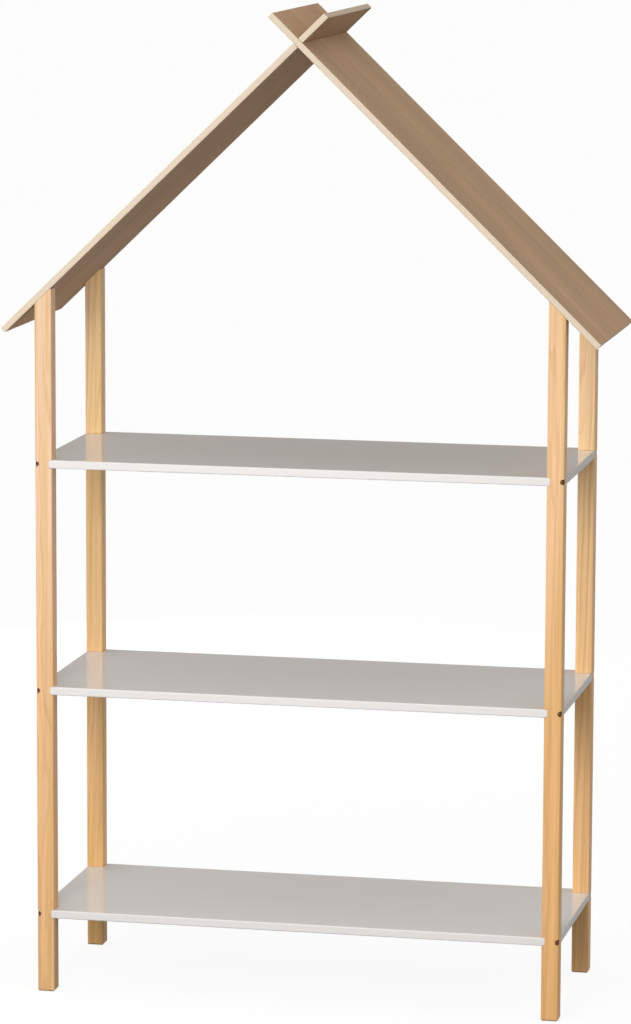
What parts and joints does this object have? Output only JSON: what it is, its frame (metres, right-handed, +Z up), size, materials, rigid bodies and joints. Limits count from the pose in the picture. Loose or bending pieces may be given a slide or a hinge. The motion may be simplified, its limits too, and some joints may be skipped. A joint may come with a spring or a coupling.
{
  "type": "house shaped bookcase",
  "caption": "Open children's bookcase shaped like a house: square pine posts, white shelves let in at the corners and crossed roof panels.",
  "frame": {"origin": "on the floor, under the middle of the case", "axes": "+X to the right seen from the front, +Y to the rear, +Z up"},
  "size_m": [0.8686, 0.306, 1.4306],
  "materials": {
    "pine": "clear matt lacquer over planed pine",
    "white_lacquer": "white semi-gloss lacquer over fibreboard",
    "roof_wood": "clear satin lacquer over pine plywood",
    "bolt_steel": "dark bronze plated steel",
    "nut_steel": "zinc plated steel"
  },
  "bodies": {
    "root": {"front_left_post": "pine", "front_right_post": "pine", "rear_left_post": "pine", "rear_right_post": "pine", "bottom_shelf": "white_lacquer", "middle_shelf": "white_lacquer", "top_shelf": "white_lacquer", "left_roof_panel": "roof_wood", "right_roof_panel": "roof_wood", "front_left_bottom_bolt": "bolt_steel", "front_left_middle_bolt": "bolt_steel", "front_left_top_bolt": "bolt_steel", "front_right_bottom_bolt": "bolt_steel", "front_right_middle_bolt": "bolt_steel", "front_right_top_bolt": "bolt_steel", "rear_left_bottom_bolt": "bolt_steel", "rear_left_middle_bolt": "bolt_steel", "rear_left_top_bolt": "bolt_steel", "rear_right_bottom_bolt": "bolt_steel", "rear_right_middle_bolt": "bolt_steel", "rear_right_top_bolt": "bolt_steel", "front_left_bottom_barrel_nut": "nut_steel", "front_left_middle_barrel_nut": "nut_steel", "front_left_top_barrel_nut": "nut_steel", "front_right_bottom_barrel_nut": "nut_steel", "front_right_middle_barrel_nut": "nut_steel", "front_right_top_barrel_nut": "nut_steel", "rear_left_bottom_barrel_nut": "nut_steel", "rear_left_middle_barrel_nut": "nut_steel", "rear_left_top_barrel_nut": "nut_steel", "rear_right_bottom_barrel_nut": "nut_steel", "rear_right_middle_barrel_nut": "nut_steel", "rear_right_top_barrel_nut": "nut_steel", "front_left_roof_screw": "nut_steel", "front_right_roof_screw": "nut_steel", "rear_left_roof_screw": "nut_steel", "rear_right_roof_screw": "nut_steel"}
  },
  "joints": []
}
